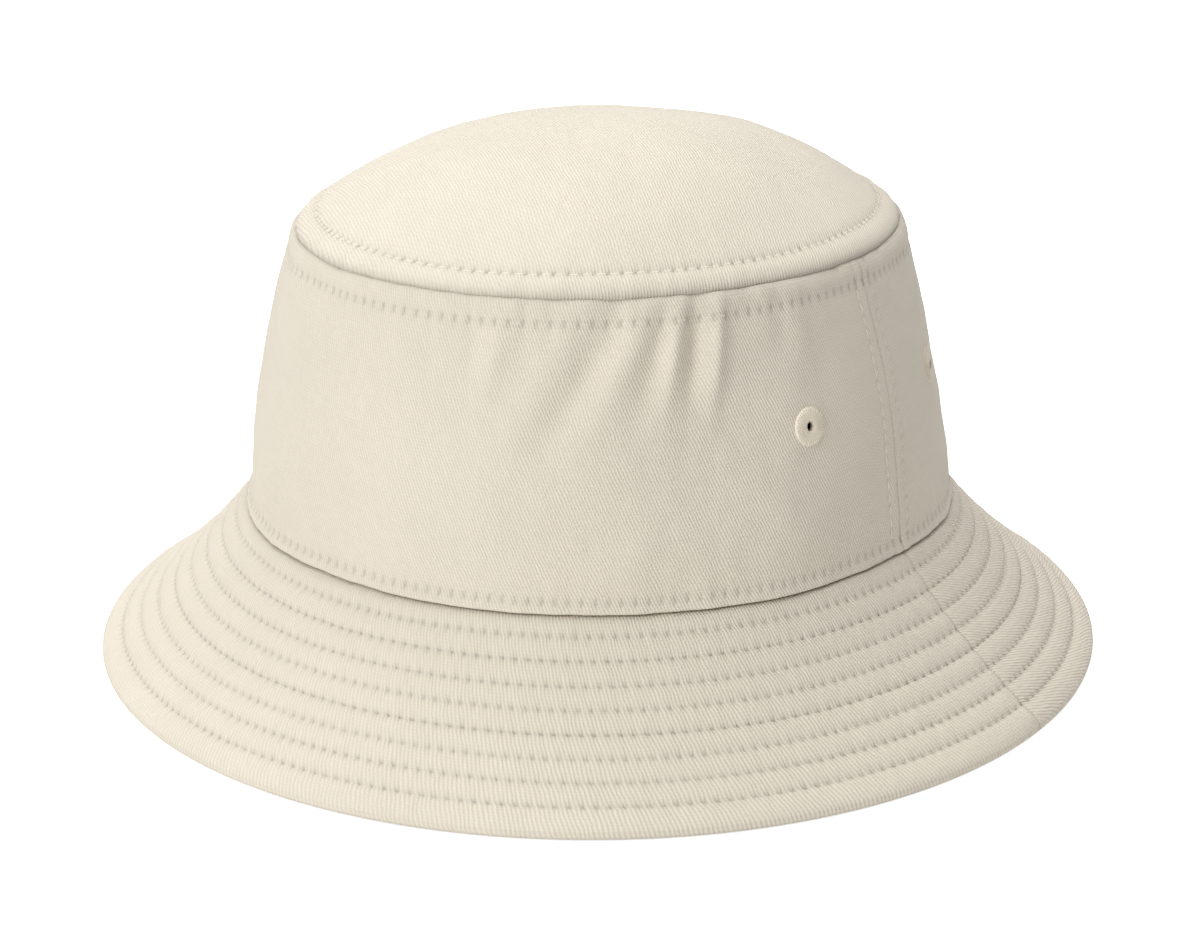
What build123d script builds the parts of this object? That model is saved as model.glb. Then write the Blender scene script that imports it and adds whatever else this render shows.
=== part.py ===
from build123d import *
from math import atan2, ceil, cos, degrees, hypot, pi, radians, sin, tan
import os

# A cotton twill bucket hat, built as it is sewn: an oval tip, a two-piece crown wall and a
# two-piece brim of three plies, taped inside, with a sweatband, sewn eyelets, labels and
# every row of stitching. Millimetres, +Z up, the front faces -Y, and the brim's edge
# stands on Z = 0 under the middle of the crown.

# ---- Plan ovals of the outer surface: half width (across, X) and half length (Y) ----
EDGE_OVAL = (133.5, 137.0)
BASE_OVAL = (93.5, 96.0)
TIP_OVAL = (78.0, 84.0)

# ---- Heights of the outer surface ----
BRIM_DROP = 38.0
WALL_HEIGHT = 75.0
TIP_RISE = 24.5
WALL_BOW = 1.65
TIP_BOW = 2.5

# ---- Cloth, thread and the air between two plies ----
TWILL = 0.6
INTERLINING = 0.8
TAPE = 0.3
RIBBON = 0.4
THREAD_WIDTH = 0.5
THREAD_HEIGHT = 0.3
PLY_GAP = 0.2
THREAD_GAP = 0.1
END_GAP = 0.3

# ---- Seams ----
SEAM_ALLOWANCE = 8.0
FOLD = 0.6
TAPE_WIDTH = 22.0
SWEATBAND_HEIGHT = 30.0
SWEATBAND_HEM = 8.0
EDGE_FLAT = 1.0
FOOT_TRIM = 0.2
INTERLINING_SET_BACK = 2.0

# ---- Rows of stitching ----
BRIM_ROWS = 8
BRIM_ROW_FIRST = 5.5
BRIM_ROW_PITCH = 6.2
DIMPLE_WIDTH = 1.6
DIMPLE_DEPTH = 0.3
BASE_ROW_HEIGHT = 3.0
TIP_ROW_OFFSET = 6.0
SIDE_ROW_OFFSET = 4.0
SWEATBAND_ROW_INSET = 3.0

# ---- Eyelets: two each side, either side of the side seam ----
EYELET_HEIGHT = 40.0
EYELET_FROM_SEAM = 33.5
EYELET_RADIUS = 5.0
EYELET_HOLE_RADIUS = 1.2
EYELET_BARREL = 0.5
EYELET_RAISE = 0.7

# ---- Labels ----
SIZE_LABEL = (28.0, 13.0)
SIZE_LABEL_HEIGHT = 9.0
CARE_LABEL = (22.0, 31.0)
CARE_LABEL_STAND_OFF = 1.4
CARE_LABEL_SWING_GAP = 0.45

# ---- Sections round the hat ----
SECTION_STEP = radians(15)
STRIP_STEP = radians(4)
LEFT, BACK, RIGHT, FRONT = 0.0, pi / 2, pi, 3 * pi / 2

# ---- How deep each ply lies under the outer surface, outside to inside ----
SECOND_PLY = TWILL + PLY_GAP
UNDER_BRIM = SECOND_PLY + INTERLINING + PLY_GAP
BRIM_STACK = UNDER_BRIM + TWILL
UPPER_TURN_UP = SECOND_PLY + TWILL + PLY_GAP
UNDER_TURN_UP = UPPER_TURN_UP + TWILL + PLY_GAP
SWEATBAND_DEPTH = UNDER_TURN_UP + TWILL + PLY_GAP
TAPE_DEPTH = SECOND_PLY + TWILL + PLY_GAP


# ---- The hat's outer surface, cut by an upright plane through Z at an angle ----
def oval_radius(oval, angle):
    half_width, half_length = oval
    return half_width * half_length / hypot(half_length * cos(angle), half_width * sin(angle))


def edge_height():
    """Height of the upper surface at the brim's edge, so that the under side stands on Z = 0."""
    return BRIM_STACK * cos(brim_slope(FRONT))


def brim_slope(angle):
    run = oval_radius(EDGE_OVAL, angle) - oval_radius(BASE_OVAL, angle)
    return atan2(BRIM_DROP, run)


def base_height():
    return edge_height() + BRIM_DROP


def brim_width(angle):
    run = oval_radius(EDGE_OVAL, angle) - oval_radius(BASE_OVAL, angle)
    return hypot(run, BRIM_DROP)


def brim_point(angle, down, depth):
    """A point `down` along the brim from its seam and `depth` under its upper surface."""
    slope = brim_slope(angle)
    radius = oval_radius(BASE_OVAL, angle) + down * cos(slope) - depth * sin(slope)
    return radius, base_height() - PLY_GAP - down * sin(slope) - depth * cos(slope)


def wall_point(angle, up, depth):
    """A point `up` the crown wall from the brim seam and `depth` inside its outer surface."""
    share = max(up / WALL_HEIGHT, 0.0)
    base, top = oval_radius(BASE_OVAL, angle), oval_radius(TIP_OVAL, angle)
    radius = base + (top - base) * share**WALL_BOW
    lean = (top - base) / WALL_HEIGHT * WALL_BOW * share ** (WALL_BOW - 1)
    length = hypot(1, lean)
    return radius - depth / length, base_height() + up + depth * lean / length


def dome_point(angle, inward, depth):
    """A point `inward` across the tip from its seam and `depth` under its outer surface."""
    rim = oval_radius(TIP_OVAL, angle)
    share = max(1 - inward / rim, 0.0)
    slope = TIP_RISE * TIP_BOW / rim * share ** (TIP_BOW - 1)
    length = hypot(1, slope)
    height = base_height() + WALL_HEIGHT + TIP_RISE * (1 - share**TIP_BOW)
    return rim * share - depth * slope / length, height - depth / length


def mitre(angle, depth):
    """How far a ply stops short of the tip seam, at a depth, so that tip and wall meet."""
    rim, base = oval_radius(TIP_OVAL, angle), oval_radius(BASE_OVAL, angle)
    wall_lean = atan2((base - rim) * WALL_BOW, WALL_HEIGHT)
    tip_slope = atan2(TIP_RISE * TIP_BOW, rim)
    turn = pi / 2 - wall_lean - tip_slope
    return depth * tan(turn / 2) + PLY_GAP


# ---- Making solids ----
def run(point, angle, start, end, depth, steps=1):
    """Points at one depth from one place to another: a straight run, or a curve in steps."""
    return [point(angle, start + (end - start) * i / steps, depth) for i in range(steps + 1)]


def section(outline, angle):
    """A closed wire from runs of (radius, height) points: two make a line, more a spline."""
    edges = []
    for points, following in zip(outline, outline[1:] + outline[:1]):
        places = [Vector(r * cos(angle), r * sin(angle), z) for r, z in points]
        r, z = following[0]
        onward = Vector(r * cos(angle), r * sin(angle), z)
        edges.append(Spline(*places) if len(places) > 2 else Line(*places))
        if (onward - places[-1]).length > 1e-6:
            edges.append(Line(places[-1], onward))
    return Wire(edges)


def sewn_round(outline, start, end, step=SECTION_STEP):
    """A solid that follows the hat round from one angle to another, with that outline."""
    count = ceil((end - start) / step - 0.01)
    angles = [start + (end - start) * i / count for i in range(count + 1)]
    return Solid.make_loft([section(outline(a), a) for a in angles], ruled=count == 1)


def half(outline, start):
    """A front or back half, from one side seam to the other."""
    clearance = PLY_GAP / 2 / min(BASE_OVAL)
    return sewn_round(outline, start + clearance, start + pi - clearance)


def hoop(outline):
    """A strip that goes all the way round and whose ends meet at the back."""
    clearance = END_GAP / 2 / min(TIP_OVAL)
    return sewn_round(outline, BACK + clearance, BACK + 2 * pi - clearance)


def strip(outline, middle, width, radius):
    """A narrow upright strip, `width` wide, centred on one angle."""
    reach = width / 2 / radius
    return sewn_round(outline, middle - reach, middle + reach, STRIP_STEP)


# ---- Crown ----
def wall_outline(angle):
    """The wall and its seam allowances, turned in at the brim seam and at the tip seam."""
    inner, turned = SECOND_PLY, SECOND_PLY + TWILL

    def top(depth):
        return WALL_HEIGHT - mitre(angle, depth)

    return [
        run(wall_point, angle, 0, top(0), 0, 5),
        run(wall_point, angle, top(turned), WALL_HEIGHT - SEAM_ALLOWANCE, turned),
        run(wall_point, angle, WALL_HEIGHT - SEAM_ALLOWANCE, top(inner) - FOLD, inner),
        run(wall_point, angle, top(TWILL) - FOLD, FOLD, TWILL, 5),
        run(wall_point, angle, FOLD, SEAM_ALLOWANCE, inner),
        run(wall_point, angle, SEAM_ALLOWANCE, 0, turned),
    ]


def eyelet_places():
    """Each eyelet's name and polar angle, measured along the wall from the side seams."""
    reach = EYELET_FROM_SEAM / BASE_OVAL[0]
    return {
        "eyelet_left_front": LEFT - reach,
        "eyelet_left_back": LEFT + reach,
        "eyelet_right_back": RIGHT - reach,
        "eyelet_right_front": RIGHT + reach,
    }


def wall_plane(angle):
    """A plane on the wall at eyelet height, with its normal pointing outwards."""
    step = 0.5
    r, z = wall_point(angle, EYELET_HEIGHT, 0)
    r_up, z_up = wall_point(angle, EYELET_HEIGHT + step, 0)
    place = Vector(r * cos(angle), r * sin(angle), z)
    upward = Vector(r_up * cos(angle), r_up * sin(angle), z_up) - place
    nearby = [angle - 0.01, angle + 0.01]
    radii = [wall_point(a, EYELET_HEIGHT, 0)[0] for a in nearby]
    before, after = [Vector(q * cos(a), q * sin(a), z) for q, a in zip(radii, nearby)]
    return Plane(origin=place, x_dir=after - before, z_dir=(after - before).cross(upward))


def crown_wall(start):
    wall = half(wall_outline, start)
    punch = EYELET_HOLE_RADIUS + EYELET_BARREL + PLY_GAP
    for angle in eyelet_places().values():
        if start < angle % (2 * pi) < start + pi:
            wall -= wall_plane(angle) * Cylinder(punch, 4 * TWILL)
    return wall


def crown_tip():
    """The oval tip: a dome turned about its middle, then drawn out to the oval."""
    half_width, half_length = TIP_OVAL
    rim = half_length
    angle = BACK
    inner, turned = SECOND_PLY, SECOND_PLY + TWILL
    outline = [
        run(dome_point, angle, rim, mitre(angle, 0), 0, 9),
        run(dome_point, angle, mitre(angle, turned), SEAM_ALLOWANCE, turned),
        run(dome_point, angle, SEAM_ALLOWANCE, mitre(angle, inner) + FOLD, inner),
        run(dome_point, angle, mitre(angle, TWILL) + FOLD, rim, TWILL, 9),
    ]
    dome = revolve(Face(section(outline, 0.0)), Axis.Z, 360)
    return scale(dome, by=(half_width / rim, 1, 1))


def eyelet(angle):
    """A ring of close stitching worked over the edge of a punched hole in the wall."""
    barrel = EYELET_HOLE_RADIUS + EYELET_BARREL
    sagitta = EYELET_RADIUS**2 / 2 / min(TIP_OVAL)
    seat_in = TWILL + THREAD_GAP + sagitta
    outer = EYELET_RAISE
    outline = [
        (EYELET_HOLE_RADIUS, -seat_in - THREAD_HEIGHT),
        (EYELET_RADIUS - THREAD_WIDTH, -seat_in - THREAD_HEIGHT),
        (EYELET_RADIUS - THREAD_WIDTH, -seat_in),
        (barrel, -seat_in),
        (barrel, THREAD_GAP),
        (EYELET_RADIUS, THREAD_GAP),
        (EYELET_RADIUS, outer / 2),
        (EYELET_RADIUS - outer / 2, outer),
        (EYELET_HOLE_RADIUS + outer / 2, outer),
        (EYELET_HOLE_RADIUS, outer / 2),
    ]
    ring = make_face(Plane.XZ * Polyline(*outline, close=True))
    return wall_plane(angle) * revolve(ring, Axis.Z, 360)


# ---- Brim ----
def edge_place(angle):
    """How far down the brim its under side comes to Z = 0."""
    slope = brim_slope(angle)
    return (base_height() - PLY_GAP - BRIM_STACK * cos(slope)) / sin(slope)


def brim_rows():
    return [BRIM_ROW_FIRST + BRIM_ROW_PITCH * i for i in range(BRIM_ROWS)]


def brim_upper_outline(angle):
    """The upper ply: dimpled along each row, rolled over the edge, and turned up inside."""
    slope, edge = brim_slope(angle), edge_place(angle)
    base = oval_radius(BASE_OVAL, angle)
    seam = base_height() - PLY_GAP
    inside = UPPER_TURN_UP + TWILL
    corner = TWILL * (1 - cos(slope)) / sin(slope)
    foot, _ = brim_point(angle, edge, BRIM_STACK)
    dimples = []
    for row in brim_rows():
        lip = DIMPLE_WIDTH / 2
        dimples.append(brim_point(angle, row - lip, 0))
        dimples.append(brim_point(angle, row, DIMPLE_DEPTH))
        dimples.append(brim_point(angle, row + lip, 0))
    points = [(base, seam)] + dimples
    points += [
        brim_point(angle, edge, 0),
        brim_point(angle, edge + EDGE_FLAT * cos(slope), BRIM_STACK / 2),
        (foot + EDGE_FLAT, -FOOT_TRIM),
        (foot, -FOOT_TRIM),
        brim_point(angle, edge, TWILL),
        brim_point(angle, corner, TWILL),
        (base - inside, seam - TWILL),
        wall_point(angle, SEAM_ALLOWANCE, inside),
        wall_point(angle, SEAM_ALLOWANCE, UPPER_TURN_UP),
        (base - UPPER_TURN_UP, seam),
    ]
    return [[p, q] for p, q in zip(points, points[1:] + points[:1])]


def brim_upper(start):
    """Half of the upper ply, trimmed level at Z = 0 where its rolled edge stands."""
    span = 3 * max(EDGE_OVAL)
    below = Pos(0, 0, -span / 2) * Box(span, span, span)
    return half(brim_upper_outline, start) - below


def interlining_outline(angle):
    edge = edge_place(angle) - PLY_GAP
    return [
        run(brim_point, angle, INTERLINING_SET_BACK, edge, SECOND_PLY),
        run(brim_point, angle, edge, INTERLINING_SET_BACK, SECOND_PLY + INTERLINING),
    ]


def brim_under_outline(angle):
    """The under ply: flush with the rolled edge outside, and turned up inside the crown."""
    slope = brim_slope(angle)
    base = oval_radius(BASE_OVAL, angle)
    edge = edge_place(angle) - PLY_GAP
    upper = base_height() - PLY_GAP - SECOND_PLY
    lower = upper - TWILL
    inside = UNDER_TURN_UP + TWILL

    def meets(depth, height):
        fall = base_height() - PLY_GAP - height
        return (fall - depth * cos(slope)) / sin(slope)

    points = [
        brim_point(angle, meets(UNDER_BRIM, upper), UNDER_BRIM),
        brim_point(angle, edge, UNDER_BRIM),
        brim_point(angle, edge, BRIM_STACK),
        brim_point(angle, meets(BRIM_STACK, lower), BRIM_STACK),
        (base - inside, lower),
        wall_point(angle, SEAM_ALLOWANCE, inside),
        wall_point(angle, SEAM_ALLOWANCE, UNDER_TURN_UP),
        (base - UNDER_TURN_UP, upper),
    ]
    return [[p, q] for p, q in zip(points, points[1:] + points[:1])]


# ---- Inside the crown ----
def sweatband_outline(angle):
    """A single ply up the inside of the opening, hemmed back on itself along the top."""
    face, back = SWEATBAND_DEPTH + TWILL, SWEATBAND_DEPTH
    hem_face, hem_back = back - PLY_GAP, back - PLY_GAP - TWILL
    top, hem = SWEATBAND_HEIGHT, SWEATBAND_HEIGHT - SWEATBAND_HEM
    return [
        run(wall_point, angle, 0, top, face, 3),
        run(wall_point, angle, top, hem, hem_back),
        run(wall_point, angle, hem, top - FOLD, hem_face),
        run(wall_point, angle, top - FOLD, 0, back, 3),
    ]


def tip_tape_outline(angle):
    """Tape over the open tip seam, half on the tip and half on the wall."""
    reach, inner, outer = TAPE_WIDTH / 2, TAPE_DEPTH + TAPE, TAPE_DEPTH
    return [
        run(wall_point, angle, WALL_HEIGHT - reach, WALL_HEIGHT - mitre(angle, outer), outer),
        run(dome_point, angle, mitre(angle, outer), reach, outer),
        run(dome_point, angle, reach, mitre(angle, inner), inner),
        run(wall_point, angle, WALL_HEIGHT - mitre(angle, inner), WALL_HEIGHT - reach, inner),
    ]


def side_tape_outline(angle):
    low, high = SEAM_ALLOWANCE + PLY_GAP, WALL_HEIGHT - TAPE_WIDTH / 2 - PLY_GAP
    return [
        run(wall_point, angle, low, high, SECOND_PLY, 5),
        run(wall_point, angle, high, low, SECOND_PLY + TAPE, 5),
    ]


def size_label_outline(angle):
    low, high = SIZE_LABEL_HEIGHT, SIZE_LABEL_HEIGHT + SIZE_LABEL[1]
    face = SWEATBAND_DEPTH + TWILL + PLY_GAP
    return [
        run(wall_point, angle, low, high, face),
        run(wall_point, angle, high, low, face + RIBBON),
    ]


def care_label_hinge():
    """Where the care label's top edge is caught under the tape, at the middle of the back."""
    up = WALL_HEIGHT - TAPE_WIDTH / 2
    radius, height = wall_point(BACK, up, TAPE_DEPTH + TAPE)
    sagitta = (CARE_LABEL[0] / 2) ** 2 / 2 / min(TIP_OVAL)
    return Vector(0, radius - sagitta - CARE_LABEL_STAND_OFF, height)


def care_label():
    """A blank folded ribbon that hangs straight down from the line it is sewn along."""
    width, length = CARE_LABEL
    hinge = care_label_hinge()
    return Pos(hinge - Vector(0, 0, length / 2)) * Box(width, RIBBON, length)


def care_label_stitch():
    """The stitches above the care label that hold it, clear of it as it swings."""
    width = CARE_LABEL[0]
    hinge = care_label_hinge()
    place = hinge + Vector(0, 0, CARE_LABEL_SWING_GAP + THREAD_HEIGHT / 2)
    return Pos(place) * Box(width, THREAD_WIDTH, THREAD_HEIGHT)


# ---- Stitching ----
def thread_outline(point, place, depth, lift=1):
    """A thread lying on a surface: `lift` is 1 on the outer side and -1 on the inner side."""
    low = depth - lift * THREAD_GAP
    high = low - lift * THREAD_HEIGHT
    start, end = place - THREAD_WIDTH / 2, place + THREAD_WIDTH / 2

    def outline(angle):
        return [run(point, angle, start, end, low), run(point, angle, end, start, high)]

    return outline


def brim_row(place):
    """One quilted row: the needle thread in its dimple and the bobbin thread underneath."""
    seat = DIMPLE_DEPTH * (1 - THREAD_WIDTH / DIMPLE_WIDTH)
    needle = hoop(thread_outline(brim_point, place, seat))
    bobbin = hoop(thread_outline(brim_point, place, BRIM_STACK, -1))
    return Compound([needle, bobbin])


def side_row(angle, offset):
    """One upright row of topstitching on the wall, beside a side seam."""
    outer, top = THREAD_GAP + THREAD_HEIGHT, WALL_HEIGHT - TIP_ROW_OFFSET - 2 * THREAD_WIDTH
    low = BASE_ROW_HEIGHT + 2 * THREAD_WIDTH

    def outline(a):
        return [
            run(wall_point, a, low, top, -THREAD_GAP, 5),
            run(wall_point, a, top, low, -outer, 5),
        ]

    return strip(outline, angle + offset / BASE_OVAL[0], THREAD_WIDTH, BASE_OVAL[0])


def side_rows(angle):
    return Compound([side_row(angle, -SIDE_ROW_OFFSET), side_row(angle, SIDE_ROW_OFFSET)])


def size_label_stitches():
    """A short row of stitches down each end of the size label."""
    depth = SWEATBAND_DEPTH + TWILL + PLY_GAP + RIBBON + THREAD_GAP
    low, high = SIZE_LABEL_HEIGHT + 1, SIZE_LABEL_HEIGHT + SIZE_LABEL[1] - 1
    radius = BASE_OVAL[1] - depth
    reach = (SIZE_LABEL[0] / 2 - 2 * THREAD_WIDTH) / radius

    def outline(a):
        return [
            run(wall_point, a, low, high, depth),
            run(wall_point, a, high, low, depth + THREAD_HEIGHT),
        ]

    ends = [BACK - reach, BACK + reach]
    return Compound([strip(outline, end, THREAD_WIDTH, radius) for end in ends])


def build():
    """Every piece of the hat by its node name."""
    base, tip_row = BASE_ROW_HEIGHT, TIP_ROW_OFFSET
    band_face = SWEATBAND_DEPTH + TWILL
    band_row = SWEATBAND_HEIGHT - SWEATBAND_ROW_INSET
    side_tape = TAPE_WIDTH, BASE_OVAL[0] - SECOND_PLY
    label = SIZE_LABEL[0], BASE_OVAL[1] - band_face
    pieces = {
        "crown_tip": crown_tip(),
        "crown_wall_front": crown_wall(RIGHT),
        "crown_wall_back": crown_wall(LEFT),
        "brim_upper_front": brim_upper(RIGHT),
        "brim_upper_back": brim_upper(LEFT),
        "brim_interlining_front": half(interlining_outline, RIGHT),
        "brim_interlining_back": half(interlining_outline, LEFT),
        "brim_under_front": half(brim_under_outline, RIGHT),
        "brim_under_back": half(brim_under_outline, LEFT),
        "sweatband": hoop(sweatband_outline),
        "tip_seam_tape": hoop(tip_tape_outline),
        "side_seam_tape_left": strip(side_tape_outline, LEFT, *side_tape),
        "side_seam_tape_right": strip(side_tape_outline, RIGHT, *side_tape),
        "tip_topstitch": hoop(thread_outline(dome_point, tip_row, 0)),
        "wall_top_topstitch": hoop(thread_outline(wall_point, WALL_HEIGHT - tip_row, 0)),
        "crown_base_topstitch": hoop(thread_outline(wall_point, base, 0)),
        "side_topstitch_left": side_rows(LEFT),
        "side_topstitch_right": side_rows(RIGHT),
        "sweatband_hem_stitch": hoop(thread_outline(wall_point, band_row, band_face, -1)),
        "size_label": strip(size_label_outline, BACK, *label),
        "size_label_stitch": size_label_stitches(),
        "care_label": care_label(),
        "care_label_stitch": care_label_stitch(),
    }
    for name, angle in eyelet_places().items():
        pieces[name] = eyelet(angle)
    for number, place in enumerate(brim_rows(), 1):
        pieces[f"brim_stitch_row_{number}"] = brim_row(place)
    return pieces


os.makedirs("parts", exist_ok=True)
for node, piece in build().items():
    export_step(piece, f"parts/{node}.step")
foot_radius, _ = brim_point(FRONT, edge_place(FRONT), BRIM_STACK)
print("care label hinge", care_label_hinge(), "brim foot", round(foot_radius, 3))
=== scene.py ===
from functools import lru_cache
from math import atan2, cos, exp, hypot, pi, radians, sin

import bmesh
import bpy
from bpy.props import FloatProperty, FloatVectorProperty, IntProperty, PointerProperty
from mathutils import Euler, Matrix, Vector, noise


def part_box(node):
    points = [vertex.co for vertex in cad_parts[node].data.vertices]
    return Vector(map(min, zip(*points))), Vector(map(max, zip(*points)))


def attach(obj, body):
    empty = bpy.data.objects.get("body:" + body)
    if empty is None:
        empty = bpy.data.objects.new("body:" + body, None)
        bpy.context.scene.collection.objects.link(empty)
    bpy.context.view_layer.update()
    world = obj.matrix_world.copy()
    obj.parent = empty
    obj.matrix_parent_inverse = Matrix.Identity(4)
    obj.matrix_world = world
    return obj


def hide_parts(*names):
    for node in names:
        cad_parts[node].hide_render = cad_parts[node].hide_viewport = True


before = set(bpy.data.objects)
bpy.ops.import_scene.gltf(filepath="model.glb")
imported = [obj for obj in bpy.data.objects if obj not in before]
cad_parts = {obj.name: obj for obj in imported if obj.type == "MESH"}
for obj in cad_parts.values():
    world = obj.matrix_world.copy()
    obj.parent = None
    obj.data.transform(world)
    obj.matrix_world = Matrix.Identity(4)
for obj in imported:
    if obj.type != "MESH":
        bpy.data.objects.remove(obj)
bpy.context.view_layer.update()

bl_info = {
    "name": "Bucket hat",
    "version": (1, 0, 0),
    "blender": (4, 5, 0),
    "location": "3D View > Sidebar > Bucket hat",
    "description": "Sews a cream twill bucket hat piece by piece around its packed model",
    "category": "Object",
}

MM = 0.001
LEFT, BACK, RIGHT = 0.0, pi / 2, pi


def reach(node, axis):
    """How far a node goes from the middle of the hat along X (0), Y (1) or up Z (2)."""
    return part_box(node)[1][axis]


# Heights that the pieces share: the brim seam and the tip seam, in metres.
SEAM_LIFT = 0.0002
BASE_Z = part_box("crown_wall_front")[0].z
TIP_Z = reach("crown_wall_front", 2) + SEAM_LIFT
WALL = (TIP_Z - BASE_Z) / MM
# How far inside its box the brim's edge line is drawn, before the cloth rolls over it.
EDGE_INSET = 0.0002

# Cloth and its plies, in millimetres.
TWILL, PLY_GAP, INTERLINING = 0.6, 0.2, 0.8
SECOND = TWILL + PLY_GAP
STACK = 2 * TWILL + INTERLINING + 2 * PLY_GAP
ALLOWANCE = 8.0
TAPE_WIDTH, BAND_HEIGHT, BAND_DEPTH = 22.0, 30.0, 3.2
TIP_ROW, BASE_ROW, SIDE_ROW = 6.0, 3.0, 4.0
STITCH = 3.2
# The crown's rounded radii at its foot, near its top and inside the sweatband, which only
# space patterns and stitches.
FOOT_RADIUS, TOP_RADIUS, BAND_RADIUS = 95.0, 86.0, 90.0
# How strongly the wall and the dome bow, and how many stitches the row on the tip has less
# than the row below the tip seam.
WALL_BOW, DOME_BOW, FEWER_ON_TIP = 0.65, 1.5, 12
# The brim: where its first row is, how far a row sits in, how far the cloth puffs up between
# two, how far in from the edge the upper ply starts to roll, and how it eases there.
FIRST_ROW, ROW_SEAT, ROW_PUFF, ROLL_START, EDGE_EASE = 5.5, 0.3, 0.72, 0.4, 0.1
# The share of a way down the brim that goes outwards, for counting stitches.
LEVEL_SHARE = 0.72
# A stitch: the shares of its pitch where the thread comes up and goes down, and its size.
COMES_UP, GOES_DOWN, THREAD_WIDTH, THREAD_HEIGHT = 0.1, 0.9, 0.5, 0.34
# A fold: its steps, how far short of the seam it stays, and the pitch of the cloth's grid.
FOLD_STEPS, FOLD_SHORT, GRID_PITCH = 5, 0.2, 0.95


class HatSizes(bpy.types.PropertyGroup):
    """The sizes of the hat's outer surface. Half sizes run from the middle of the hat."""

    edge_half_width: FloatProperty(
        name="Brim half width", description="Middle to the brim's edge, across",
        default=reach("brim_upper_front", 0) - EDGE_INSET, unit="LENGTH")
    edge_half_length: FloatProperty(
        name="Brim half length", description="Middle to the brim's edge, front to back",
        default=reach("brim_upper_back", 1) - EDGE_INSET, unit="LENGTH")
    base_half_width: FloatProperty(
        name="Crown half width", description="Middle to the brim seam, across",
        default=reach("crown_wall_front", 0), unit="LENGTH")
    base_half_length: FloatProperty(
        name="Crown half length", description="Middle to the brim seam, front to back",
        default=reach("crown_wall_back", 1), unit="LENGTH")
    tip_half_width: FloatProperty(
        name="Tip half width", description="Middle to the tip seam, across",
        default=reach("crown_tip", 0) + SEAM_LIFT, unit="LENGTH")
    tip_half_length: FloatProperty(
        name="Tip half length", description="Middle to the tip seam, front to back",
        default=reach("crown_tip", 1) + SEAM_LIFT, unit="LENGTH")
    tip_rise: FloatProperty(
        name="Tip rise", description="How far the dome stands above its seam",
        default=reach("crown_tip", 2) - TIP_Z, unit="LENGTH")
    brim_rows: IntProperty(
        name="Brim rows", description="Rows of quilting round the brim", default=8, min=2)
    brim_row_pitch: FloatProperty(
        name="Row pitch", description="From one row to the next", default=6.2 * MM, unit="LENGTH")


class HatColours(bpy.types.PropertyGroup):
    """The colours of the cloth, the thread and the ribbon."""

    twill: FloatVectorProperty(
        name="Twill", description="Undyed cotton twill", default=(0.835, 0.764, 0.640),
        subtype="COLOR", min=0, max=1)
    thread: FloatVectorProperty(
        name="Thread", description="Cream sewing thread", default=(0.92, 0.85, 0.725),
        subtype="COLOR", min=0, max=1)
    tape: FloatVectorProperty(
        name="Tape", description="Seam tape", default=(0.81, 0.73, 0.6),
        subtype="COLOR", min=0, max=1)
    lining: FloatVectorProperty(
        name="Interlining", description="Brim stiffener", default=(0.86, 0.84, 0.78),
        subtype="COLOR", min=0, max=1)
    ribbon: FloatVectorProperty(
        name="Ribbon", description="Blank labels", default=(0.88, 0.87, 0.83),
        subtype="COLOR", min=0, max=1)


def sizes():
    return bpy.context.scene.hat_sizes


def colours():
    return bpy.context.scene.hat_colours


# ---- The hat's surface: each function puts a place on the cut cloth where it is sewn ----
def oval(half_width, half_length, angle):
    """Radius of an oval in millimetres, from its half sizes in metres."""
    across = hypot(half_length * cos(angle), half_width * sin(angle))
    return half_width * half_length / across / MM


@lru_cache(maxsize=None)
def edge_radius(angle):
    return oval(sizes().edge_half_width, sizes().edge_half_length, angle)


@lru_cache(maxsize=None)
def base_radius(angle):
    return oval(sizes().base_half_width, sizes().base_half_length, angle)


@lru_cache(maxsize=None)
def tip_radius(angle):
    return oval(sizes().tip_half_width, sizes().tip_half_length, angle)


def drape(angle, height, scale, seed):
    """A soft random rise and fall of about one, the same on every run."""
    place = Vector((FOOT_RADIUS * cos(angle), FOOT_RADIUS * sin(angle), height)) / scale
    return noise.noise(place + Vector((seed, 3.1 * seed, 0.0)))


def crease(distance, depth, width):
    """A furrow that fades on both sides of its line."""
    return -depth * exp(-abs(distance) / width)


def from_seam(angle, radius):
    """Distance along the cloth from the nearer side seam."""
    turn = (angle + pi / 2) % pi - pi / 2
    return abs(turn) * radius


def at(angle, radius, height):
    return Vector((radius * cos(angle), radius * sin(angle), height)) * MM


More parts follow.
